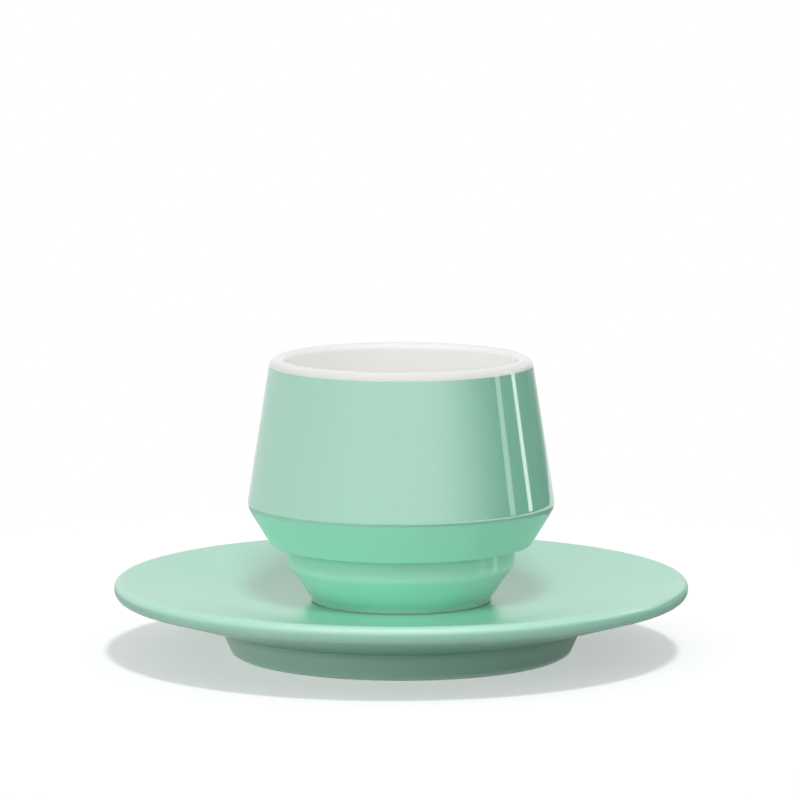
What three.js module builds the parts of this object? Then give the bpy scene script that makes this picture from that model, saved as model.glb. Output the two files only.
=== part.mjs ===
// Handleless espresso cup standing on its round saucer.
// Each is one piece of cast porcelain under fired coats of glaze: mint outside, white inside the cup.
// Millimetres, +Z up, origin on the table at the middle of the saucer's foot.
// Diameters and heights are those of the glazed surface, taken at the sharp corners before rounding.

import * as THREE from 'three';

// Glaze coats
const GLAZE_THICKNESS = 0.4;

// Saucer, from the table up
const SAUCER_DIAMETER = 120;
const SAUCER_FOOT_DIAMETER = 70.8;
const SAUCER_FOOT_FLARE = 2.6;
const SAUCER_FOOT_HEIGHT = 5.74;
const SAUCER_FOOT_FILLET = 1.85;
const SAUCER_FOOT_RING = 4;
const SAUCER_FOOT_BARE = 0.2;
const SAUCER_UNDERSIDE_RISE = 6.39;
const SAUCER_EDGE = 3.5;
const SAUCER_EDGE_UPPER_ROUND = 1.9;
const SAUCER_EDGE_LOWER_ROUND = 1.95;
const SAUCER_DISH_DEPTH = 4.83;
const SAUCER_WELL_DIAMETER = 63.2;
const SAUCER_WELL_ROUND = 70;
const SAUCER_BASE = 4.6;
const SAUCER_RECESS_ROUND = 2.5;

// Cup, from the saucer up
const CUP_FOOT_DIAMETER = 37.7;
const CUP_FOOT_RING = 3.2;
const CUP_FOOT_BAND = 0.75;
const CUP_FOOT_BARE = 0.2;
const CUP_FOOT_RECESS = 1.4;
const CUP_RECESS_ROUND = 0.9;
const CUP_LOWER_CONE_RISE = 7.25;
const CUP_NECK_DIAMETER = 47.7;
const CUP_NECK_BAND = 4.06;
const CUP_NECK_ROUND = 0.6;
const CUP_LEDGE_DIAMETER = 54.55;
const CUP_LEDGE_ROUND = 0.75;
const CUP_LEDGE_FILLET = 0.6;
const CUP_SHOULDER_RISE = 8.18;
const CUP_BELLY_DIAMETER = 64.4;
const CUP_SHOULDER_ROUND = 3.4;
const CUP_UPPER_WALL_RISE = 30.96;
const CUP_RIM_DIAMETER = 54.65;
const CUP_RIM_OUTER_ROUND = 1.9;
const CUP_RIM_INNER_ROUND = 1.25;
const CUP_WHITE_BAND = 1.6;
const CUP_WALL = 3.2;
const CUP_BASE = 2.6;
const CUP_FLOOR_ROUND = 6;
const CUP_WAIST_ROUND = 14;
const CUP_HOLLOW_ROUND = 8;

// Rounding of the bare foot rings where they meet the table or the saucer
const FOOT_EDGE_ROUND = 0.15;

// Heights above the table that the saucer's pieces and the cup share
const SAUCER_EDGE_LOW = SAUCER_FOOT_HEIGHT + SAUCER_UNDERSIDE_RISE;
const SAUCER_EDGE_TOP = SAUCER_EDGE_LOW + SAUCER_EDGE;
const SAUCER_WELL = SAUCER_EDGE_TOP - SAUCER_DISH_DEPTH;

// Fineness of the turned surfaces
const TURN_STEPS = 40;
const ARC_STEP = THREE.MathUtils.degToRad(45);
const ARC_STEPS_MIN = 2;

// Finishes
const mintGlaze = new THREE.MeshStandardMaterial({ color: '#8ad2b4', roughness: 0.12, metalness: 0 });
const whiteGlaze = new THREE.MeshStandardMaterial({ color: '#f0f0ee', roughness: 0.12, metalness: 0 });
const barePorcelain = new THREE.MeshStandardMaterial({ color: '#e9e5dc', roughness: 0.75, metalness: 0 });

// A corner of an outline in the half plane of radius and height, with the radius that rounds it.
function corner(radius, height, round = 0) {
  return { at: new THREE.Vector2(radius, height), round };
}

// A plain corner on the straight line through two corners, at the given height.
function cornerOnLine(from, to, height) {
  const share = (height - from.at.y) / (to.at.y - from.at.y);
  const { x, y } = from.at.clone().lerp(to.at, share);
  return corner(x, y);
}

// Outlines of glazed surfaces run so that the porcelain lies on their right.
// An inset moves one into the porcelain by a depth: rounding shrinks at right turns and grows at left ones.
function inset(outline, depth) {
  const sideNormals = outline.slice(1).map((end, i) => {
    const along = end.at.clone().sub(outline[i].at).normalize();
    return new THREE.Vector2(along.y, -along.x);
  });
  return outline.map(({ at, round }, i) => {
    const before = sideNormals[Math.max(i - 1, 0)];
    const after = sideNormals[Math.min(i, sideNormals.length - 1)];
    const shift = before.clone().add(after).multiplyScalar(depth / (1 + before.dot(after)));
    const turn = Math.sign(before.cross(after));
    const { x, y } = at.clone().add(shift);
    return corner(x, y, round ? Math.max(round + turn * depth, 0) : 0);
  });
}

// The longest setback that a rounding may take from the side between two corners.
function roomOnSide(own, neighbour) {
  const length = own.at.distanceTo(neighbour.at);
  return neighbour.round ? length / 2 : length;
}

// The points of an outline, with each rounded corner drawn as an arc that its two sides leave room for.
function rounded(outline) {
  return outline.flatMap((own, i) => {
    const before = outline[i - 1];
    const after = outline[i + 1];
    if (!own.round || !before || !after) {
      return [own.at];
    }
    const toBefore = before.at.clone().sub(own.at).normalize();
    const toAfter = after.at.clone().sub(own.at).normalize();
    const halfAngle = Math.acos(THREE.MathUtils.clamp(toBefore.dot(toAfter), -1, 1)) / 2;
    const wanted = own.round / Math.tan(halfAngle);
    const setback = Math.min(wanted, roomOnSide(own, before), roomOnSide(own, after));
    const radius = setback * Math.tan(halfAngle);
    const bisector = toBefore.clone().add(toAfter).setLength(radius / Math.sin(halfAngle));
    const centre = own.at.clone().add(bisector);
    const start = toBefore.clone().multiplyScalar(setback).add(own.at).sub(centre);
    const sweep = (Math.PI - 2 * halfAngle) * -Math.sign(toBefore.cross(toAfter));
    const steps = Math.max(ARC_STEPS_MIN, Math.ceil(Math.abs(sweep) / ARC_STEP));
    const origin = new THREE.Vector2();
    return Array.from({ length: steps + 1 }, (_, step) =>
      start.clone().rotateAround(origin, (sweep * step) / steps).add(centre));
  });
}

// A solid turned about the vertical axis from a closed section that keeps the solid on its left.
// The profile opens where the section runs along the axis, and otherwise closes on itself.
function turned(name, section, material) {
  const start = section.findIndex((point, i) => point.x === 0 && section.at(i - 1).x === 0);
  const profile = start < 0
    ? [...section, section[0].clone()]
    : [...section.slice(start), ...section.slice(0, start)];
  const geometry = new THREE.LatheGeometry(profile, TURN_STEPS);
  geometry.rotateX(Math.PI / 2);
  const mesh = new THREE.Mesh(geometry, material);
  mesh.name = name;
  return mesh;
}

// A coat of glaze: the space between a glazed surface and the porcelain under it.
function coat(name, surface, porcelain, material) {
  return turned(name, [...rounded(porcelain), ...rounded(surface).reverse()], material);
}

// The bare ring that a piece stands on: the walls beside it run straight on below the coats.
function footRing(outerWall, innerWall) {
  const outer = cornerOnLine(outerWall.at(-2), outerWall.at(-1), 0);
  const inner = cornerOnLine(innerWall[0], innerWall[1], 0);
  return [outer, inner].map(({ at }) => corner(at.x, at.y, FOOT_EDGE_ROUND));
}

// The porcelain under the coats: along the outer outline, across the foot ring and into the recess.
function porcelainBody(name, outer, recess) {
  const section = rounded([...outer, ...footRing(outer, recess), ...recess]);
  return turned(name, section.reverse(), barePorcelain);
}

function saucer() {
  const edge = SAUCER_DIAMETER / 2;
  const footBottom = SAUCER_FOOT_DIAMETER / 2;
  const footTop = footBottom + SAUCER_FOOT_FLARE;
  const ringInside = footBottom - SAUCER_FOOT_RING;
  const ceiling = SAUCER_WELL - SAUCER_BASE;

  const underFoot = corner(footBottom, 0);
  const footShoulder = corner(footTop, SAUCER_FOOT_HEIGHT, SAUCER_FOOT_FILLET);
  const surface = [
    corner(0, SAUCER_WELL),
    corner(SAUCER_WELL_DIAMETER / 2, SAUCER_WELL, SAUCER_WELL_ROUND),
    corner(edge, SAUCER_EDGE_TOP, SAUCER_EDGE_UPPER_ROUND),
    corner(edge, SAUCER_EDGE_LOW, SAUCER_EDGE_LOWER_ROUND),
    footShoulder,
    cornerOnLine(footShoulder, underFoot, SAUCER_FOOT_BARE),
  ];
  const recess = [
    corner(ringInside, SAUCER_FOOT_BARE),
    corner(ringInside, ceiling, SAUCER_RECESS_ROUND),
    corner(0, ceiling),
  ];
  const porcelain = inset(surface, GLAZE_THICKNESS);
  const porcelainRecess = inset(recess, GLAZE_THICKNESS);

  const group = new THREE.Group();
  group.add(
    porcelainBody('saucer_body', porcelain, porcelainRecess),
    coat('saucer_glaze', surface, porcelain, mintGlaze),
    coat('saucer_base_glaze', recess, porcelainRecess, mintGlaze),
  );
  return group;
}

function cup() {
  const foot = CUP_FOOT_DIAMETER / 2;
  const neck = CUP_NECK_DIAMETER / 2;
  const belly = CUP_BELLY_DIAMETER / 2;
  const rim = CUP_RIM_DIAMETER / 2;
  const neckLow = CUP_FOOT_BAND + CUP_LOWER_CONE_RISE;
  const ledge = neckLow + CUP_NECK_BAND;
  const shoulder = ledge + CUP_SHOULDER_RISE;
  const top = shoulder + CUP_UPPER_WALL_RISE;
  const floor = CUP_FOOT_RECESS + CUP_BASE;
  const ringInside = foot - CUP_FOOT_RING;

  const rimCorner = corner(rim, top, CUP_RIM_OUTER_ROUND);
  const bellyCorner = corner(belly, shoulder, CUP_SHOULDER_ROUND);
  const whiteEnd = cornerOnLine(rimCorner, bellyCorner, top - CUP_WHITE_BAND);
  const surface = [
    corner(0, floor),
    corner(foot - CUP_WALL, floor, CUP_FLOOR_ROUND),
    corner(neck - CUP_WALL, ledge, CUP_WAIST_ROUND),
    corner(belly - CUP_WALL, shoulder, CUP_HOLLOW_ROUND),
    corner(rim - CUP_WALL, top, CUP_RIM_INNER_ROUND),
    rimCorner,
    whiteEnd,
    bellyCorner,
    corner(CUP_LEDGE_DIAMETER / 2, ledge, CUP_LEDGE_ROUND),
    corner(neck, ledge, CUP_LEDGE_FILLET),
    corner(neck, neckLow, CUP_NECK_ROUND),
    corner(foot, CUP_FOOT_BAND),
    corner(foot, CUP_FOOT_BARE),
  ];
  const recess = [
    corner(ringInside, CUP_FOOT_BARE),
    corner(ringInside, CUP_FOOT_RECESS, CUP_RECESS_ROUND),
    corner(0, CUP_FOOT_RECESS),
  ];
  const porcelain = inset(surface, GLAZE_THICKNESS);
  const porcelainRecess = inset(recess, GLAZE_THICKNESS);
  const split = surface.indexOf(whiteEnd);

  const group = new THREE.Group();
  group.add(
    porcelainBody('cup_body', porcelain, porcelainRecess),
    coat('cup_inner_glaze', surface.slice(0, split + 1), porcelain.slice(0, split + 1), whiteGlaze),
    coat('cup_outer_glaze', surface.slice(split), porcelain.slice(split), mintGlaze),
    coat('cup_base_glaze', recess, porcelainRecess, mintGlaze),
  );
  return group;
}

const cupOnSaucer = cup();
cupOnSaucer.position.z = SAUCER_WELL;
const espressoCupAndSaucer = new THREE.Group();
espressoCupAndSaucer.add(saucer(), cupOnSaucer);

export default espressoCupAndSaucer;
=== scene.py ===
"""Espresso cup and saucer: the fired porcelain, its coats of mint and white glaze, and a plain studio."""

import math

import bpy
import numpy as np
from bpy.props import FloatProperty, FloatVectorProperty, PointerProperty
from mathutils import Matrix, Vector


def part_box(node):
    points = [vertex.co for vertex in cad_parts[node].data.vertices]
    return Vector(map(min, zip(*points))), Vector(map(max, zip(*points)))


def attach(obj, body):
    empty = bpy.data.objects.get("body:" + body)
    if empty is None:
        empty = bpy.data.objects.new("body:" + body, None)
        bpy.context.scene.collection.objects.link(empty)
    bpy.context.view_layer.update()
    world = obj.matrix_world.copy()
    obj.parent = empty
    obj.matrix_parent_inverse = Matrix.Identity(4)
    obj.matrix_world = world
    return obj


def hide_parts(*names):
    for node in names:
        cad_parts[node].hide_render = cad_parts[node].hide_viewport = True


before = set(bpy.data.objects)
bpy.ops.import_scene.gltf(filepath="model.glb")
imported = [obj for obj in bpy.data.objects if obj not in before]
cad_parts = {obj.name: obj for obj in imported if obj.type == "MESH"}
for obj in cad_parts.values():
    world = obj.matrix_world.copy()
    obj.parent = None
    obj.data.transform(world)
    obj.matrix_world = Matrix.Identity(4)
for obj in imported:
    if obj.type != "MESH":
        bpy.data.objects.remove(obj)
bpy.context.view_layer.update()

bl_info = {
    "name": "Espresso Cup and Saucer",
    "version": (1, 0, 0),
    "blender": (4, 5, 0),
    "location": "View3D > Sidebar > Espresso Set",
    "description": "Turns a glazed porcelain cup and saucer and sets them in a plain studio",
    "category": "Add Mesh",
}

MM = 0.001
LENGTH_DIGITS = 5

# Places that the frame gives: the saucer's edge, the well that the cup stands on, and the coats' ends
SAUCER_LOW, SAUCER_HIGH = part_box("saucer_glaze")
CUP_LOW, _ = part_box("cup_body")
_, LIP_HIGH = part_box("cup_inner_glaze")
CUP_MINT_LOW, CUP_MINT_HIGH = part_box("cup_outer_glaze")

# Fineness of the turned surfaces
TURN_STEPS = 192
ARC_STEPS = 12
STRAIGHT_STEP = 1.2 * MM
SAME_POINT = 1e-9
SHARP_ANGLE = math.radians(40)


def length(name, description, metres):
    """A size in metres that a user may change."""
    return FloatProperty(name=name, description=description, default=metres,
                         min=0.0, unit="LENGTH", precision=LENGTH_DIGITS)


def colour(name, description, rgb):
    """A linear colour that a user may change."""
    return FloatVectorProperty(name=name, description=description, default=rgb,
                               min=0.0, max=1.0, subtype="COLOR")


def amount(name, description, value):
    """A plain number that a user may change."""
    return FloatProperty(name=name, description=description, default=value, min=0.0)


def angle(name, description, degrees):
    """An angle that a user may change."""
    return FloatProperty(name=name, description=description, default=math.radians(degrees), subtype="ANGLE")


class SaucerSizes(bpy.types.PropertyGroup):
    """The saucer, measured on its glazed surface at the sharp corners"""

    diameter: length("Diameter", "Across the saucer's edge", 2 * SAUCER_HIGH.x)
    well_height: length("Well height", "Table to the flat well that the cup stands on", CUP_LOW.z)
    well_diameter: length("Well diameter", "Across the flat well", 63.2 * MM)
    well_round: length("Well rounding", "Radius between the well and the dish", 70 * MM)
    dish_depth: length("Dish depth", "Well to the top of the edge", 4.83 * MM)
    edge: length("Edge", "Height of the edge", 3.5 * MM)
    edge_upper_round: length("Edge upper rounding", "Radius over the edge", 1.9 * MM)
    edge_lower_round: length("Edge lower rounding", "Radius under the edge", 1.95 * MM)
    foot_diameter: length("Foot diameter", "Across the foot at the table", 70.8 * MM)
    foot_flare: length("Foot flare", "How far the foot widens upwards, on each side", 2.6 * MM)
    foot_height: length("Foot height", "Table to the underside beside the foot", 5.74 * MM)
    foot_fillet: length("Foot fillet", "Radius between the foot and the underside", 1.85 * MM)
    foot_ring: length("Foot ring", "Width of the ring that stands on the table", 4 * MM)
    bare: length("Bare band", "Height of the foot that has no glaze", SAUCER_LOW.z)
    base: length("Base", "Thickness of the well", 4.6 * MM)
    recess_round: length("Recess rounding", "Radius inside the foot", 2.5 * MM)


class CupSizes(bpy.types.PropertyGroup):
    """The cup, measured on its glazed surface at the sharp corners, with heights from its own foot"""

    height: length("Height", "Foot to lip", LIP_HIGH.z - CUP_LOW.z)
    foot_diameter: length("Foot diameter", "Across the foot", 37.7 * MM)
    foot_band: length("Foot band", "Height of the upright band at the foot", 0.75 * MM)
    foot_ring: length("Foot ring", "Width of the ring that stands on the saucer", 3.2 * MM)
    bare: length("Bare band", "Height of the foot that has no glaze", CUP_MINT_LOW.z - CUP_LOW.z)
    recess: length("Recess", "Depth of the hollow under the foot", 1.4 * MM)
    recess_round: length("Recess rounding", "Radius inside the foot", 0.9 * MM)
    neck_diameter: length("Neck diameter", "Across the neck that enters a cup below", 47.7 * MM)
    neck_low: length("Neck low", "Height of the neck's lower edge", 8 * MM)
    neck_round: length("Neck rounding", "Radius on the neck's lower edge", 0.6 * MM)
    ledge_height: length("Ledge height", "Height of the stacking ledge", 12.06 * MM)
    ledge_diameter: length("Ledge diameter", "Across the stacking ledge", 54.55 * MM)
    ledge_round: length("Ledge rounding", "Radius on the ledge's edge", 0.75 * MM)
    ledge_fillet: length("Ledge fillet", "Radius between the ledge and the neck", 0.6 * MM)
    belly_diameter: length("Belly diameter", "Across the shoulder", 64.4 * MM)
    belly_height: length("Belly height", "Height of the shoulder", 20.24 * MM)
    shoulder_round: length("Shoulder rounding", "Radius over the shoulder", 3.4 * MM)
    rim_diameter: length("Rim diameter", "Across the lip", 54.65 * MM)
    rim_outer_round: length("Rim outer rounding", "Radius on the lip's outside", 1.9 * MM)
    rim_inner_round: length("Rim inner rounding", "Radius on the lip's inside", 1.25 * MM)
    white_band: length("White band", "How far the white glaze comes down outside",
                       LIP_HIGH.z - CUP_MINT_HIGH.z)
    wall: length("Wall", "Thickness of the wall, level", 3.2 * MM)
    base: length("Base", "Thickness of the floor", 2.6 * MM)
    floor_round: length("Floor rounding", "Radius between the floor and the wall inside", 6 * MM)
    waist_round: length("Waist rounding", "Radius inside at the ledge", 14 * MM)
    hollow_round: length("Hollow rounding", "Radius inside at the shoulder", 8 * MM)


class GlazeLooks(bpy.types.PropertyGroup):
    """The coats of glaze and the bare porcelain"""

    thickness: length("Thickness", "Thickness of a coat", 0.4 * MM)
    edge_round: length("Edge rounding", "Radius on a coat's free edge", 0.25 * MM)
    foot_round: length("Foot rounding", "Radius on the bare foot rings", 0.15 * MM)
    mint: colour("Mint", "Colour of the mint glaze", (0.25, 0.64, 0.46))
    # Paler mint over the saucer's edges, where the glaze runs thin, and as a painted highlight on the cup's
    # neck edge
    mint_thin_and_highlight: colour("Thin mint", "Colour where the mint glaze runs thin", (0.34, 0.70, 0.54))
    # The deep end of the glaze's random drift in tone, and the colour of the painted shade under the cup's
    # ledge, near its foot and in the saucer's corner inside its foot
    mint_tone_and_shade: colour("Pooled mint", "Colour where the mint glaze gathers", (0.10, 0.42, 0.26))
    white: colour("White", "Colour of the white glaze", (0.87, 0.87, 0.855))
    white_pooled: colour("Pooled white", "Colour where the white glaze gathers", (0.84, 0.842, 0.82))
    bare: colour("Bare porcelain", "Colour of the unglazed rings", (0.81, 0.78, 0.72))
    bare_speck: colour("Bare specks", "Colour of the grains in the unglazed rings", (0.62, 0.58, 0.52))
    mint_index: amount("Mint index", "Refractive index of the mint glaze", 3.0)
    white_index: amount("White index", "Refractive index of the white glaze", 1.5)
    cup_rough: amount("Cup roughness", "Roughness of the cup's glaze", 0.04)
    saucer_rough: amount("Saucer roughness", "Roughness of the saucer's glaze", 0.24)


class StudioLooks(bpy.types.PropertyGroup):
    """Lamps, floor and camera"""

    ambient: amount("Ambient light", "Even light from all round, where 1 shows a colour as it is", 0.432)
    ambient_dark: amount("Ambient dark", "Even light from low down at the right", 0.08)
    dome: amount("Dome", "Brightness of the reflected dome, where 1 is white", 1)
    dome_peak: amount("Dome peak", "Brightness added at the front, halfway up", 0.5)
    dome_dark: amount("Dome dark", "Brightness of the dome's low side at the right", 0.2)
    key: amount("Key lamp", "Light of the overhead lamp, where 1 shows a facing colour as it is", 0.45)
    front: amount("Front lamp", "Light on the saucer from the front", 0.56)
    fill: amount("Fill lamp", "Light of the low soft lamp at the front left", 0.26)
    side: amount("Side lamp", "Light on the right of the cup's outside", 0.07)
    bounce: amount("Bounce lamp", "Light thrown up at the cup's underside", 0.45)
    lining: amount("Lining lamp", "Light inside the cup", 0.19)
    card: amount("Card", "Brightness of the mirrored card on the floor", 0.5)
    card_dark: amount("Card dark", "Brightness of that card at the right", 0.26)
    flag: amount("Flag", "Brightness of the dark card at the right", 0.15)
    floor: colour("Floor", "Colour of the floor", (0.68, 0.68, 0.68))
    floor_glow: amount("Floor glow", "Light added to the floor where it is seen", 0.42)
    background: amount("Background", "White that the camera and the glaze see all round", 1.0)
    strip_bright: amount("Bright strip", "Brightness of the upright lamp at the right", 1.75)
    strip_dim: amount("Dim strip", "Brightness of the upright lamp beside it", 0.7)
    lens: amount("Lens", "Focal length in millimetres on a 36 mm frame", 244.8)
    camera_tilt: angle("Camera tilt", "How far the camera looks down", 7.596)
    camera_place: FloatVectorProperty(name="Camera place", description="Where the camera stands",
                                      default=(-0.24 * MM, -1124.2 * MM, 202.9 * MM), subtype="TRANSLATION")


class EspressoSet(bpy.types.PropertyGroup):
    """All that a user may change"""

    saucer: PointerProperty(type=SaucerSizes, name="Saucer", description="Sizes of the saucer")
    cup: PointerProperty(type=CupSizes, name="Cup", description="Sizes of the cup")
    glaze: PointerProperty(type=GlazeLooks, name="Glaze", description="Coats and colours")
    studio: PointerProperty(type=StudioLooks, name="Studio", description="Light and camera")


# Outlines are arrays of corners: radius, height and the radius that rounds the corner

def on_line(start, end, height):
    """A plain corner on the straight line through two corners, at the given height."""
    share = (height - start[1]) / (end[1] - start[1])
    return (start[0] + share * (end[0] - start[0]), height, 0)


def inset(outline, depth):
    """Moves an outline to its right by a depth: each corner goes along the bisector of its two side normals,
    and its rounding shrinks at right turns and grows at left ones."""
    along = np.diff(outline[:, :2], axis=0)
    along /= np.linalg.norm(along, axis=1, keepdims=True)
    normals = np.stack([along[:, 1], -along[:, 0]], axis=1)
    before = np.vstack([normals[:1], normals])
    after = np.vstack([normals, normals[-1:]])
    shift = (before + after) * depth / (1 + np.sum(before * after, axis=1, keepdims=True))
    turn = np.sign(before[:, 0] * after[:, 1] - before[:, 1] * after[:, 0])
    rounding = np.where(outline[:, 2] > 0, np.maximum(outline[:, 2] + turn * depth, 0), 0)
    return np.column_stack([outline[:, :2] + shift, rounding])


def arc(before, own, after):
    """The arc that rounds one corner: it leaves each side at the same setback, which the side has room for,
    and its centre lies on the corner's bisector."""
    sides = np.stack([before[:2], after[:2]]) - own[:2]
    lengths = np.linalg.norm(sides, axis=1)
    sides /= lengths[:, None]
    half = math.acos(np.clip(sides[0] @ sides[1], -1, 1)) / 2
    room = np.where([before[2] > 0, after[2] > 0], lengths / 2, lengths)
    setback = min(own[2] / math.tan(half), *room)
    radius = setback * math.tan(half)
    bisector = sides.sum(axis=0) / np.linalg.norm(sides.sum(axis=0))
    centre = own[:2] + bisector * radius / math.sin(half)
    first = own[:2] + sides[0] * setback - centre
    turn = -np.sign(sides[0][0] * sides[1][1] - sides[0][1] * sides[1][0])
    swept = turn * (math.pi - 2 * half) * np.linspace(0, 1, ARC_STEPS + 1)
    angles = math.atan2(first[1], first[0]) + swept
    return centre + radius * np.stack([np.cos(angles), np.sin(angles)], axis=1)


def drawn(outline):
    """The points of an outline: rounded corners become arcs, and long straight runs are cut into
    even steps."""
    last = len(outline) - 1
    runs = [
        arc(outline[i - 1], corner, outline[i + 1]) if 0 < i < last and corner[2] > 0 else corner[None, :2]
        for i, corner in enumerate(outline)
    ]
    points = np.vstack(runs)
    step = np.diff(points, axis=0)
    distance = np.linalg.norm(step, axis=1)
    counts = np.where(distance > SAME_POINT, np.ceil(distance / STRAIGHT_STEP), 0).astype(int)
    share = np.arange(counts.sum()) - np.repeat(np.cumsum(counts) - counts, counts)
    share = share / np.repeat(counts, counts)
    inner = np.repeat(points[:-1], counts, axis=0) + share[:, None] * np.repeat(step, counts, axis=0)
    return np.vstack([inner, points[-1:]])


def coat_section(surface, porcelain, edge_round=0.0):
    """The closed section between a glazed surface and the porcelain under it, with the free edge rounded."""
    outside = surface[::-1].copy()
    outside[0, 2] = edge_round
    return drawn(np.vstack([porcelain, outside]))


def body_section(outer, recess, ground, foot_round):
    """The closed section of the porcelain: over the outside, across the foot ring and into the recess."""
    ring = np.array([on_line(outer[-2], outer[-1], ground), on_line(recess[0], recess[1], ground)])
    ring[:, 2] = foot_round
    return drawn(np.vstack([outer, ring, recess]))[::-1]


def saucer_outlines(sizes):
    """The saucer's glazed surface from the well's middle to the foot, and the recess under it."""
    edge = sizes.diameter / 2
    foot = sizes.foot_diameter / 2
    edge_top = sizes.well_height + sizes.dish_depth
    ring_inside = foot - sizes.foot_ring
    ceiling = sizes.well_height - sizes.base
    foot_shoulder = (foot + sizes.foot_flare, sizes.foot_height, sizes.foot_fillet)
    surface = np.array([
        (0, sizes.well_height, 0),
        (sizes.well_diameter / 2, sizes.well_height, sizes.well_round),
        (edge, edge_top, sizes.edge_upper_round),
        (edge, edge_top - sizes.edge, sizes.edge_lower_round),
        foot_shoulder,
        on_line(foot_shoulder, (foot, 0), sizes.bare),
    ])
    recess = np.array([
        (ring_inside, sizes.bare, 0),
        (ring_inside, ceiling, sizes.recess_round),
        (0, ceiling, 0),
    ])
    return surface, recess


# The corner of the cup's outline where the white glaze ends and the mint begins
WHITE_END = 6


def cup_outlines(sizes, ground):
    """The cup's white surface from the floor's middle over the lip, its mint surface down to the foot,
    and the recess under it."""
    foot = sizes.foot_diameter / 2
    neck = sizes.neck_diameter / 2
    belly = sizes.belly_diameter / 2
    rim = sizes.rim_diameter / 2
    floor = sizes.recess + sizes.base
    ring_inside = foot - sizes.foot_ring
    rim_corner = (rim, sizes.height, sizes.rim_outer_round)
    belly_corner = (belly, sizes.belly_height, sizes.shoulder_round)
    surface = np.array([
        (0, floor, 0),
        (foot - sizes.wall, floor, sizes.floor_round),
        (neck - sizes.wall, sizes.ledge_height, sizes.waist_round),
        (belly - sizes.wall, sizes.belly_height, sizes.hollow_round),
        (rim - sizes.wall, sizes.height, sizes.rim_inner_round),
        rim_corner,
        on_line(rim_corner, belly_corner, sizes.height - sizes.white_band),
        belly_corner,
        (sizes.ledge_diameter / 2, sizes.ledge_height, sizes.ledge_round),
        (neck, sizes.ledge_height, sizes.ledge_fillet),
        (neck, sizes.neck_low, sizes.neck_round),
        (foot, sizes.foot_band, 0),
        (foot, sizes.bare, 0),
    ])
    recess = np.array([
        (ring_inside, sizes.bare, 0),
        (ring_inside, sizes.recess, sizes.recess_round),
        (0, sizes.recess, 0),
    ])
    raised = np.array([0, ground, 0])
    return surface + raised, recess + raised


def turned(name, section):
    """A surface of revolution: a section point of radius r and height z goes round to (r cos t, r sin t, z).
    The section keeps the solid on its left. Where it starts and ends on the axis each end is one pole,
    and otherwise it closes on itself."""
    poled = section[0, 0] < SAME_POINT
    rings = section
    if poled:
        rings = section[1:-1]
    elif np.allclose(section[0], section[-1]):
        rings = section[:-1]
    angles = np.linspace(0, 2 * math.pi, TURN_STEPS, endpoint=False)
    radius, height = rings[:, :1], rings[:, 1:]
    grid = np.broadcast_arrays(radius * np.cos(angles), radius * np.sin(angles), height)
    vertices = np.stack(grid, axis=-1).reshape(-1, 3)
    own = np.arange(len(vertices)).reshape(-1, TURN_STEPS)
    beside = np.roll(own, -1, axis=1)
    quads = np.stack([own, beside, np.roll(beside, -1, axis=0), np.roll(own, -1, axis=0)], axis=-1)
    if poled:
        first, final = len(vertices), len(vertices) + 1
        vertices = np.vstack([vertices, np.column_stack([np.zeros((2, 2)), section[[0, -1], 1]])])
        pole = np.ones(TURN_STEPS, int)
        caps = np.stack([[pole * first, beside[0], own[0]], [pole * final, own[-1], beside[-1]]])
        faces = quads[:-1].reshape(-1, 4).tolist() + caps.transpose(0, 2, 1).reshape(-1, 3).tolist()
    else:
        faces = quads.reshape(-1, 4).tolist()
    mesh = bpy.data.meshes.new(name)
    mesh.from_pydata(vertices, [], faces)
    mesh.shade_smooth()
    mesh.set_sharp_from_angle(angle=SHARP_ANGLE)
    piece = bpy.data.objects.new(name, mesh)
    bpy.context.scene.collection.objects.link(piece)
    return piece


def fitted(piece, node, body, material):
    """Gives a piece its finish, sets it on its body and lets it stand for the frame's node."""
    piece.data.materials.append(material)
    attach(piece, body)
    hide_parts(node)


class Value:
    """A socket of a node tree. Arithmetic on it adds Math nodes."""

    def __init__(self, nodes, socket):
        self.nodes = nodes
        self.socket = socket

    def math(self, operation, *operands):
        return self.nodes.add("ShaderNodeMath", {"operation": operation}, dict(enumerate(operands)))

    def __add__(self, other):
        return self.math("ADD", self, other)

    __radd__ = __add__

    def __sub__(self, other):
        return self.math("SUBTRACT", self, other)

    def __rsub__(self, other):
        return self.math("SUBTRACT", other, self)

    def __mul__(self, other):
        return self.math("MULTIPLY", self, other)

    __rmul__ = __mul__

    def __neg__(self):
        return 0 - self

    def __abs__(self):
        return self.math("ABSOLUTE", self)

    def exp(self):
        return self.math("EXPONENT", self)

    def sqrt(self):
        return self.math("SQRT", self)

    def arcsine(self):
        return self.math("ARCSINE", self)

    def arctangent(self, other):
        return self.math("ARCTAN2", self, other)

    def greater(self, other):
        return self.math("MAXIMUM", self, other)


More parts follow.
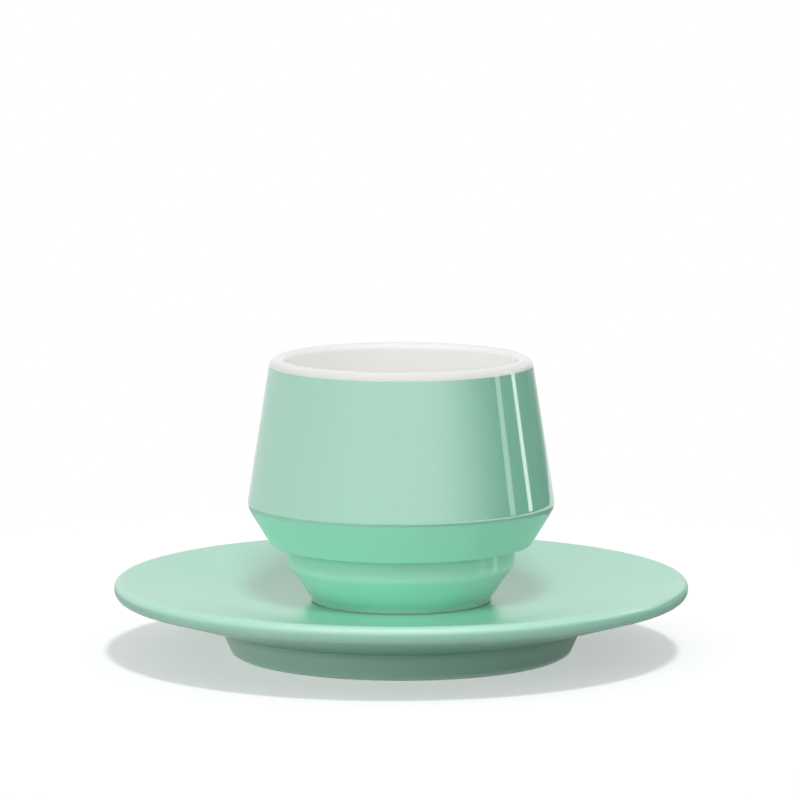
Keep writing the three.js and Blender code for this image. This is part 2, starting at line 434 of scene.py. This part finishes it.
class Nodes:
    """Adds nodes to one node tree, which starts empty."""

    MIX_COLOURS = {"data_type": "RGBA"}
    MIX_FACTOR, MIX_FIRST, MIX_SECOND, MIX_RESULT = 0, 6, 7, 2
    NOISE_DETAIL = 2.0

    def __init__(self, tree):
        self.tree = tree
        tree.nodes.clear()

    def add(self, kind, settings=None, inputs=None, output=0):
        """Adds a node with its settings, then the values or links of its sockets, and returns one output."""
        node = self.tree.nodes.new(kind)
        for key, setting in (settings or {}).items():
            setattr(node, key, setting)
        for key, value in (inputs or {}).items():
            if isinstance(value, Value):
                self.tree.links.new(value.socket, node.inputs[key])
            else:
                node.inputs[key].default_value = value
        return Value(self, node.outputs[output]) if node.outputs else None

    def place(self):
        """The point on the surface, in the coordinates of its object."""
        return self.add("ShaderNodeTexCoord", {}, {}, "Object")

    def parted(self, vector):
        """The three parts of a vector."""
        return [self.add("ShaderNodeSeparateXYZ", {}, {"Vector": vector}, axis) for axis in "XYZ"]

    def mixed(self, factor, first, second):
        """A colour between two, by a factor from 0 to 1."""
        inputs = {self.MIX_FACTOR: factor, self.MIX_FIRST: first, self.MIX_SECOND: second}
        return self.add("ShaderNodeMix", self.MIX_COLOURS, inputs, self.MIX_RESULT)

    def smooth(self, value, low, high):
        """Goes smoothly from 0 to 1 while a value goes from low to high."""
        settings = {"interpolation_type": "SMOOTHSTEP"}
        return self.add("ShaderNodeMapRange", settings, {"Value": value, "From Min": low, "From Max": high})

    def noise(self, place, scale, detail=NOISE_DETAIL):
        """Smooth noise of about 0 to 1, with so many waves to the metre."""
        return self.add("ShaderNodeTexNoise", {}, {"Vector": place, "Scale": scale, "Detail": detail}, "Fac")


def rgba(rgb):
    """A colour with full cover."""
    return (*rgb, 1.0)


def material_nodes(name):
    """A new material and the nodes that draw it."""
    material = bpy.data.materials.new(name)
    material.use_nodes = True
    return material, Nodes(material.node_tree)


def ring_shares(nodes, place, rings):
    """How close a point lies to some rings about the axis: a sum of bells, each exp of minus the squared
    distance from the ring over its squared reach."""
    x, y, z = nodes.parted(place)
    radius = (x * x + y * y).sqrt()
    total = 0.0
    for ring_radius, ring_height, reach in rings:
        out = (radius - ring_radius) * (1 / reach)
        up = (z - ring_height) * (1 / reach)
        total = (-(out * out + up * up)).exp() + total
    return total


# Waves to the metre, with their depth in metres or their share of a mix, and their detail
PEEL_WAVES, PEEL_DEPTH, PEEL_DETAIL = 420, 1.5e-6, 1.0
DRIFT_WAVES, DRIFT_DEPTH, DRIFT_DETAIL = 55, 9e-6, 0.0
TONE_WAVES, TONE_SHARE = 34, 0.22
MOTTLE_WAVES, MOTTLE_SHARE = 900, 0.10
ROUGH_DRIFT = 0.04


def glaze(name, plain, deep_and_shade, index, rough, thin=None, thin_and_highlight_rings=(), shade_rings=()):
    """Glossy fired glaze: it pales over the given edges, where the glaze runs thin and, on the cup's neck
    edge, as a painted highlight, and it darkens at the given corners as painted shade; it drifts a little in
    tone, and has the faint orange peel of a poured coat."""
    material, nodes = material_nodes(name)
    place = nodes.place()
    tone = nodes.noise(place, TONE_WAVES) * TONE_SHARE
    mottle = nodes.noise(place, MOTTLE_WAVES) * MOTTLE_SHARE
    tint = nodes.mixed(tone + mottle, rgba(plain), rgba(deep_and_shade))
    # Paler rings over edges: thin glaze, and on the cup's neck edge a painted highlight
    if thin_and_highlight_rings:
        tint = nodes.mixed(ring_shares(nodes, place, thin_and_highlight_rings), tint, rgba(thin))
    # Painted shade: darker rings at the corners where shade falls
    if shade_rings:
        tint = nodes.mixed(ring_shares(nodes, place, shade_rings), tint, rgba(deep_and_shade))
    pores = nodes.noise(place, PEEL_WAVES, PEEL_DETAIL)
    peel = nodes.add("ShaderNodeBump", {}, {"Distance": PEEL_DEPTH, "Height": pores})
    drift = nodes.noise(place, DRIFT_WAVES, DRIFT_DETAIL)
    wave = nodes.add("ShaderNodeBump", {}, {"Distance": DRIFT_DEPTH, "Height": drift, "Normal": peel})
    shader = nodes.add("ShaderNodeBsdfPrincipled", {}, {
        "Base Color": tint,
        "Roughness": nodes.noise(place, TONE_WAVES) * ROUGH_DRIFT + rough,
        "IOR": index,
        "Normal": wave,
    })
    nodes.add("ShaderNodeOutputMaterial", {}, {"Surface": shader})
    return material


GRAIN_WAVES, GRAIN_DEPTH = 2600, 12e-6
SPECK_WAVES, SPECK_SHARE = 1500, 0.35
BARE_ROUGH, BARE_ROUGH_DRIFT = 0.65, 0.3


def bare_porcelain(looks):
    """Unglazed fired porcelain: matt, with fine grains."""
    material, nodes = material_nodes("bare_porcelain")
    place = nodes.place()
    speck = nodes.noise(place, SPECK_WAVES) * SPECK_SHARE
    grain = nodes.noise(place, GRAIN_WAVES)
    shader = nodes.add("ShaderNodeBsdfPrincipled", {}, {
        "Base Color": nodes.mixed(speck, rgba(looks.bare), rgba(looks.bare_speck)),
        "Roughness": speck * BARE_ROUGH_DRIFT + BARE_ROUGH,
        "Normal": nodes.add("ShaderNodeBump", {}, {"Distance": GRAIN_DEPTH, "Height": grain}),
    })
    nodes.add("ShaderNodeOutputMaterial", {}, {"Surface": shader})
    return material


def mint_glaze(name, looks, rough, thin_and_highlight_rings, shade_rings):
    """The mint glaze of one piece."""
    return glaze(name, looks.mint, looks.mint_tone_and_shade, looks.mint_index, rough,
                 looks.mint_thin_and_highlight, thin_and_highlight_rings, shade_rings)


# How far the paler glaze is felt from an edge, where it is thin glaze and on the cup's neck edge a painted
# highlight, and how far the painted shade is felt from a corner
THIN_AND_HIGHLIGHT_REACH, SHADE_REACH, FOOT_SHADE_REACH = 1.1 * MM, 1.3 * MM, 3.4 * MM


def ring_at(corner, reach):
    """The ring that an outline's corner draws, with how far it is felt."""
    return (corner[0], corner[1], reach)


class ESPRESSO_OT_saucer(bpy.types.Operator):
    """Turn the saucer's porcelain and its two coats of mint glaze"""

    bl_idname = "espresso_set.saucer"
    bl_label = "Saucer"

    def execute(self, context):
        settings = context.scene.espresso_set
        looks = settings.glaze
        surface, recess = saucer_outlines(settings.saucer)
        porcelain, porcelain_recess = inset(surface, looks.thickness), inset(recess, looks.thickness)
        body = turned("saucer_porcelain", body_section(porcelain, porcelain_recess, 0.0, looks.foot_round))
        fitted(body, "saucer_body", "saucer", bare_porcelain(looks))
        edge_top, edge_low, foot_shoulder = surface[2:5]
        # The saucer's edges pale where the glaze runs thin, and the darker ring in the corner inside its
        # foot is painted shade
        mint = mint_glaze("saucer_mint_glaze", looks, looks.saucer_rough,
                          [ring_at(edge_top, THIN_AND_HIGHLIGHT_REACH), ring_at(edge_low, THIN_AND_HIGHLIGHT_REACH)],
                          [ring_at(foot_shoulder, SHADE_REACH)])
        coat = turned("saucer_mint_coat", coat_section(surface, porcelain, looks.edge_round))
        fitted(coat, "saucer_glaze", "saucer", mint)
        base = turned("saucer_base_coat", coat_section(recess, porcelain_recess))
        fitted(base, "saucer_base_glaze", "saucer", mint)
        return {"FINISHED"}


class ESPRESSO_OT_cup(bpy.types.Operator):
    """Turn the cup's porcelain and its coats of white and mint glaze"""

    bl_idname = "espresso_set.cup"
    bl_label = "Cup"

    def execute(self, context):
        settings = context.scene.espresso_set
        looks = settings.glaze
        ground = settings.saucer.well_height
        surface, recess = cup_outlines(settings.cup, ground)
        porcelain, porcelain_recess = inset(surface, looks.thickness), inset(recess, looks.thickness)
        body = turned("cup_porcelain", body_section(porcelain, porcelain_recess, ground, looks.foot_round))
        fitted(body, "cup_body", "cup", bare_porcelain(looks))
        white = glaze("cup_white_glaze", looks.white, looks.white_pooled, looks.white_index, looks.cup_rough)
        inner = turned("cup_white_lining", coat_section(surface[:WHITE_END + 1], porcelain[:WHITE_END + 1]))
        fitted(inner, "cup_inner_glaze", "cup", white)
        ledge_corner, neck_edge = surface[WHITE_END + 3:WHITE_END + 5]
        foot_edge = surface[-1]
        # The paler ring on the neck's lower edge is thin glaze and a painted highlight, and the darker rings
        # under the ledge and at the foot are painted shade
        mint = mint_glaze("cup_mint_glaze", looks, looks.cup_rough,
                          [ring_at(neck_edge, THIN_AND_HIGHLIGHT_REACH)],
                          [ring_at(ledge_corner, SHADE_REACH), ring_at(foot_edge, FOOT_SHADE_REACH)])
        section = coat_section(surface[WHITE_END:], porcelain[WHITE_END:], looks.edge_round)
        outer = turned("cup_mint_coat", section)
        fitted(outer, "cup_outer_glaze", "cup", mint)
        base = turned("cup_base_coat", coat_section(recess, porcelain_recess))
        fitted(base, "cup_base_glaze", "cup", mint)
        return {"FINISHED"}


FLOOR_REACH = 6.0
FLOOR_NEAR, FLOOR_FAR = 0.08, 0.20
SHELL_STEPS = 96

# Bearings turn from the front to the right, and elevations rise from the floor
DOME_RADIUS = 2.2
DOME_TOP = math.radians(89.5)
DARK_BEARINGS = (math.radians(17), math.radians(98), math.radians(135), math.radians(160))
DOME_RISE = (math.radians(6), math.radians(18))
PEAK_BEARINGS = (math.radians(30), math.radians(75))
DOME_PEAK, DOME_PEAK_REACH = math.radians(46), math.radians(24)

# Distant lamps: name, bearing, elevation and spread, the only pieces lit (all where none is named),
# and whether other pieces shade them
SUN_DISTANCE = 1.0
SAUCER_PIECES = ("saucer_mint_coat", "saucer_base_coat", "saucer_porcelain")
CUP_PIECES = ("cup_mint_coat", "cup_white_lining", "cup_base_coat", "cup_porcelain")
LAMPS = (
    ("key", math.radians(32), math.radians(75), math.radians(9), ("floor",) + CUP_PIECES, True),
    ("front", math.radians(5), math.radians(55), math.radians(15), SAUCER_PIECES, True),
    ("fill", math.radians(-37), math.radians(6), math.radians(40), (), True),
    ("side", math.radians(42), math.radians(15), math.radians(20), ("cup_mint_coat",), False),
    ("bounce", math.radians(-45), math.radians(-50), math.radians(60), ("cup_mint_coat",), False),
)
LINING_LAMP_DEPTH, LINING_LAMP_RADIUS = 7 * MM, 5 * MM
CARD_BEARINGS = (math.radians(-70), math.radians(55), math.radians(135), math.radians(160))
CARD_INNER, CARD_OUTER, CARD_LIFT = 36 * MM, 180 * MM, 0.2 * MM
FLAG_RADIUS, FLAG_TOP, FLAG_FADE = 0.45, math.radians(12), 0.06
FLAG_BEARINGS = (math.radians(45), math.radians(95), math.radians(140), math.radians(172))

# Upright strips: name, bearing and the angle that the width fills
STRIP_DISTANCE, STRIP_HEIGHT, STRIP_FOOT = 0.42, 0.3, 30 * MM
STRIPS = (
    ("strip_bright", math.radians(110), math.radians(5.0)),
    ("strip_dim", math.radians(89), math.radians(5.5)),
)


def seen_rays(nodes):
    """1 for rays from the camera, a mirror or glass, and 0 for rays that gather diffuse light."""
    camera, glossy, transmission = (
        nodes.add("ShaderNodeLightPath", {}, {}, name)
        for name in ("Is Camera Ray", "Is Glossy Ray", "Is Transmission Ray")
    )
    return (camera + glossy).greater(transmission)


def bearing_of(x, y):
    """The bearing of a direction: 0 at the front, and rising to the right."""
    return x.arctangent(-y)


def share_between(nodes, bearing, limits):
    """The share of a range of bearings: it rises over the first two limits and falls over the last two."""
    start, full, fade, end = limits
    return nodes.smooth(bearing, start, full) * (1 - nodes.smooth(bearing, fade, end))


def sky_shares(nodes):
    """Three facts of a direction: how far it is at the front, its share of the bright sky, which is all but
    the low part at the right, and its elevation."""
    place = nodes.place()
    ray = nodes.add("ShaderNodeVectorMath", {"operation": "NORMALIZE"}, {"Vector": place}, "Vector")
    x, y, z = nodes.parted(ray)
    bearing = bearing_of(x, y)
    front = 1 - nodes.smooth(abs(bearing), *PEAK_BEARINGS)
    bright = 1 - share_between(nodes, bearing, DARK_BEARINGS)
    elevation = z.arcsine()
    cover = bright.greater(nodes.smooth(elevation, *DOME_RISE))
    return front, cover, elevation


def floor_material(studio):
    """A plain pale floor that keeps the shadow. Where it is seen it glows a little, and turns to white
    far off."""
    material, nodes = material_nodes("floor")
    distance = nodes.add("ShaderNodeVectorMath", {"operation": "LENGTH"}, {0: nodes.place()}, "Value")
    far = nodes.smooth(distance, FLOOR_NEAR, FLOOR_FAR)
    seen = seen_rays(nodes)
    plain = nodes.add("ShaderNodeBsdfDiffuse", {}, {"Color": rgba(studio.floor)})
    glow = nodes.add("ShaderNodeEmission", {}, {"Color": seen * studio.floor_glow})
    near = nodes.add("ShaderNodeAddShader", {}, {0: plain, 1: glow})
    white = nodes.add("ShaderNodeEmission", {}, {"Strength": studio.background})
    both = nodes.add("ShaderNodeMixShader", {}, {0: far * seen, 1: near, 2: white})
    nodes.add("ShaderNodeOutputMaterial", {}, {"Surface": both})
    return material


def dome_material(studio):
    """Brightness all round, for the glaze to mirror: bright but for the low part at the right, and brightest
    at the front, halfway up, by a bell of exp of minus the squared angle over its squared reach."""
    material, nodes = material_nodes("dome")
    front, cover, elevation = sky_shares(nodes)
    above = (elevation - DOME_PEAK) * (1 / DOME_PEAK_REACH)
    bell = (-(above * above)).exp()
    glow = cover * (studio.dome - studio.dome_dark) + studio.dome_dark + front * bell * studio.dome_peak
    shader = nodes.add("ShaderNodeEmission", {}, {"Color": glow})
    nodes.add("ShaderNodeOutputMaterial", {}, {"Surface": shader})
    return material


def flag_material(studio):
    """A dark card with soft edges, for the glaze to mirror."""
    material, nodes = material_nodes("flag")
    x, y, z = nodes.parted(nodes.place())
    low = 1 - nodes.smooth(z, FLAG_FADE * FLAG_RADIUS, math.sin(FLAG_TOP) * FLAG_RADIUS)
    share = share_between(nodes, bearing_of(x, y), FLAG_BEARINGS) * low
    clear = nodes.add("ShaderNodeBsdfTransparent")
    dark = nodes.add("ShaderNodeEmission", {}, {"Strength": studio.flag})
    shader = nodes.add("ShaderNodeMixShader", {}, {0: share, 1: clear, 2: dark})
    nodes.add("ShaderNodeOutputMaterial", {}, {"Surface": shader})
    return material


def card_material(studio):
    """A card on the floor, for the glaze to mirror, darker at the right."""
    material, nodes = material_nodes("card")
    x, y, _ = nodes.parted(nodes.place())
    dark = share_between(nodes, bearing_of(x, y), CARD_BEARINGS)
    glow = dark * (studio.card_dark - studio.card) + studio.card
    shader = nodes.add("ShaderNodeEmission", {}, {"Color": glow})
    nodes.add("ShaderNodeOutputMaterial", {}, {"Surface": shader})
    return material


def stage_mesh(name, vertices, faces, material):
    """A mesh of the stage, which is not part of the set."""
    mesh = bpy.data.meshes.new(name)
    mesh.from_pydata(vertices, [], faces)
    mesh.materials.append(material)
    piece = bpy.data.objects.new(name, mesh)
    bpy.context.scene.collection.objects.link(piece)
    return piece


def mirror_only(piece):
    """Hides a piece of the stage from all but mirrored rays."""
    piece.visible_camera = False
    piece.visible_diffuse = False
    piece.visible_shadow = False
    piece.visible_transmission = False


def shell(name, radius, bearings, elevations, material):
    """Part of a sphere about the origin, seen only in mirrors: (sin b cos e, -cos b cos e, sin e) times the
    radius, for bearings b and elevations e between two of each."""
    bearing_steps = np.linspace(*bearings, SHELL_STEPS + 1)
    elevation_steps = np.linspace(*elevations, SHELL_STEPS + 1)
    across, up = np.meshgrid(bearing_steps, elevation_steps)
    spread = np.stack([np.sin(across) * np.cos(up), -np.cos(across) * np.cos(up), np.sin(up)], axis=-1)
    own = np.arange(across.size).reshape(across.shape)
    faces = np.stack([own[:-1, 1:], own[:-1, :-1], own[1:, :-1], own[1:, 1:]], axis=-1)
    mirror_only(stage_mesh(name, radius * spread.reshape(-1, 3), faces.reshape(-1, 4).tolist(), material))


def ring_card(name, inner, outer, material):
    """A flat ring just above the floor, seen only in mirrors: (r cos t, r sin t, lift) for all turns t,
    with r the inner and the outer radius."""
    turns = np.linspace(0, 2 * math.pi, SHELL_STEPS, endpoint=False)
    round_about = np.stack([np.cos(turns), np.sin(turns), np.zeros(SHELL_STEPS)], axis=-1)
    points = np.concatenate([inner * round_about, outer * round_about]) + (0, 0, CARD_LIFT)
    own = np.arange(SHELL_STEPS)
    following = np.roll(own, -1)
    faces = np.stack([own, own + SHELL_STEPS, following + SHELL_STEPS, following], axis=-1)
    mirror_only(stage_mesh(name, points, faces.tolist(), material))


def lamp(name, kind, bearing, elevation, distance, **settings):
    """A lamp that stands at a bearing and an elevation from the origin and points back at it."""
    data = bpy.data.lights.new(name, kind)
    for key, setting in settings.items():
        setattr(data, key, setting)
    stand = bpy.data.objects.new(name, data)
    level = math.cos(elevation)
    away = Vector((math.sin(bearing) * level, -math.cos(bearing) * level, math.sin(elevation)))
    stand.location = away * distance
    stand.rotation_euler = away.to_track_quat("Z", "Y").to_euler()
    stand.visible_camera = False
    bpy.context.scene.collection.objects.link(stand)
    return stand


def light_links(stand, lit, shaded):
    """Lets a lamp light only the named pieces, if any. Where other pieces don't shade them, only the named
    ones cast its shadows."""
    if not lit:
        return
    pieces = bpy.data.collections.new(stand.name + "_lit")
    for name in lit:
        pieces.objects.link(bpy.data.objects[name])
    stand.light_linking.receiver_collection = pieces
    if not shaded:
        stand.light_linking.blocker_collection = pieces


def lay_floor(studio):
    """The floor, with the dome and the cards that the glaze mirrors."""
    reach = FLOOR_REACH
    corners = [(-reach, -reach, 0), (reach, -reach, 0), (reach, reach, 0), (-reach, reach, 0)]
    stage_mesh("floor", corners, [(0, 1, 2, 3)], floor_material(studio))
    shell("dome", DOME_RADIUS, (-math.pi, math.pi), (0.0, DOME_TOP), dome_material(studio))
    flag_ends = (FLAG_BEARINGS[0], FLAG_BEARINGS[-1])
    shell("flag", FLAG_RADIUS, flag_ends, (0.0, FLAG_TOP), flag_material(studio))
    ring_card("card", CARD_INNER, CARD_OUTER, card_material(studio))


def set_lamps(studio, rim_radius):
    """The distant lamps, the bulb inside the cup and the upright strips. A brightness times pi is the light
    on a facing surface, and this times an area is the power."""
    for name, bearing, elevation, spread, lit, shaded in LAMPS:
        light = math.pi * getattr(studio, name)
        sun = lamp(name, "SUN", bearing, elevation, SUN_DISTANCE, angle=spread, energy=light)
        sun.visible_glossy = False
        light_links(sun, lit, shaded)
    sphere = 4 * math.pi * rim_radius ** 2
    power = studio.lining * math.pi * sphere
    bulb = lamp("lining", "POINT", 0.0, 0.0, 0.0, energy=power, shadow_soft_size=LINING_LAMP_RADIUS)
    bulb.location.z = LIP_HIGH.z - LINING_LAMP_DEPTH
    bulb.visible_glossy = False
    light_links(bulb, ("cup_white_lining",), False)
    for name, bearing, width in STRIPS:
        side = STRIP_DISTANCE * width
        power = getattr(studio, name) * math.pi * side * STRIP_HEIGHT
        strip = lamp(name, "AREA", bearing, 0.0, STRIP_DISTANCE,
                     shape="RECTANGLE", size=side, size_y=STRIP_HEIGHT, energy=power)
        strip.location.z = STRIP_FOOT + STRIP_HEIGHT / 2


def set_world(scene, studio):
    """White where it is seen, and otherwise an even light that is dimmer low down at the right."""
    world = bpy.data.worlds.new("studio")
    world.use_nodes = True
    scene.world = world
    nodes = Nodes(world.node_tree)
    seen = seen_rays(nodes)
    _, cover, _ = sky_shares(nodes)
    even = cover * (studio.ambient - studio.ambient_dark) + studio.ambient_dark
    light = seen * studio.background + (1 - seen) * even
    background = nodes.add("ShaderNodeBackground", {}, {"Color": light})
    nodes.add("ShaderNodeOutputWorld", {}, {"Surface": background})


def set_camera(scene, studio):
    """The camera, which looks along +Y and down by its tilt."""
    camera = bpy.data.cameras.new("camera")
    camera.lens = studio.lens
    stand = bpy.data.objects.new("camera", camera)
    stand.location = studio.camera_place
    stand.rotation_euler = (math.pi / 2 - studio.camera_tilt, 0, 0)
    scene.collection.objects.link(stand)
    scene.camera = stand


class ESPRESSO_OT_stage(bpy.types.Operator):
    """Lay the floor, light the studio and set the camera"""

    bl_idname = "espresso_set.stage"
    bl_label = "Stage"

    def execute(self, context):
        scene = context.scene
        settings = scene.espresso_set
        lay_floor(settings.studio)
        set_lamps(settings.studio, settings.cup.rim_diameter / 2)
        set_world(scene, settings.studio)
        set_camera(scene, settings.studio)
        scene.view_settings.view_transform = "Standard"
        return {"FINISHED"}


class ESPRESSO_PT_panel(bpy.types.Panel):
    """Buttons and sizes of the set"""

    bl_idname = "ESPRESSO_PT_panel"
    bl_label = "Espresso Set"
    bl_space_type = "VIEW_3D"
    bl_region_type = "UI"
    bl_category = "Espresso Set"

    def draw(self, context):
        settings = context.scene.espresso_set
        for operator in OPERATORS:
            self.layout.operator(operator.bl_idname)
        for part in ("saucer", "cup", "glaze", "studio"):
            group = getattr(settings, part)
            box = self.layout.box()
            box.label(text=part.title())
            for key in group.bl_rna.properties.keys():
                if key not in ("rna_type", "name"):
                    box.prop(group, key)


OPERATORS = (ESPRESSO_OT_saucer, ESPRESSO_OT_cup, ESPRESSO_OT_stage)
CLASSES = (SaucerSizes, CupSizes, GlazeLooks, StudioLooks, EspressoSet, *OPERATORS, ESPRESSO_PT_panel)


def register():
    for cls in CLASSES:
        bpy.utils.register_class(cls)
    bpy.types.Scene.espresso_set = PointerProperty(type=EspressoSet, name="Espresso set")


def unregister():
    del bpy.types.Scene.espresso_set
    for cls in reversed(CLASSES):
        bpy.utils.unregister_class(cls)


def main():
    register()
    bpy.ops.espresso_set.saucer()
    bpy.ops.espresso_set.cup()
    bpy.ops.espresso_set.stage()


if __name__ == "__main__":
    main()
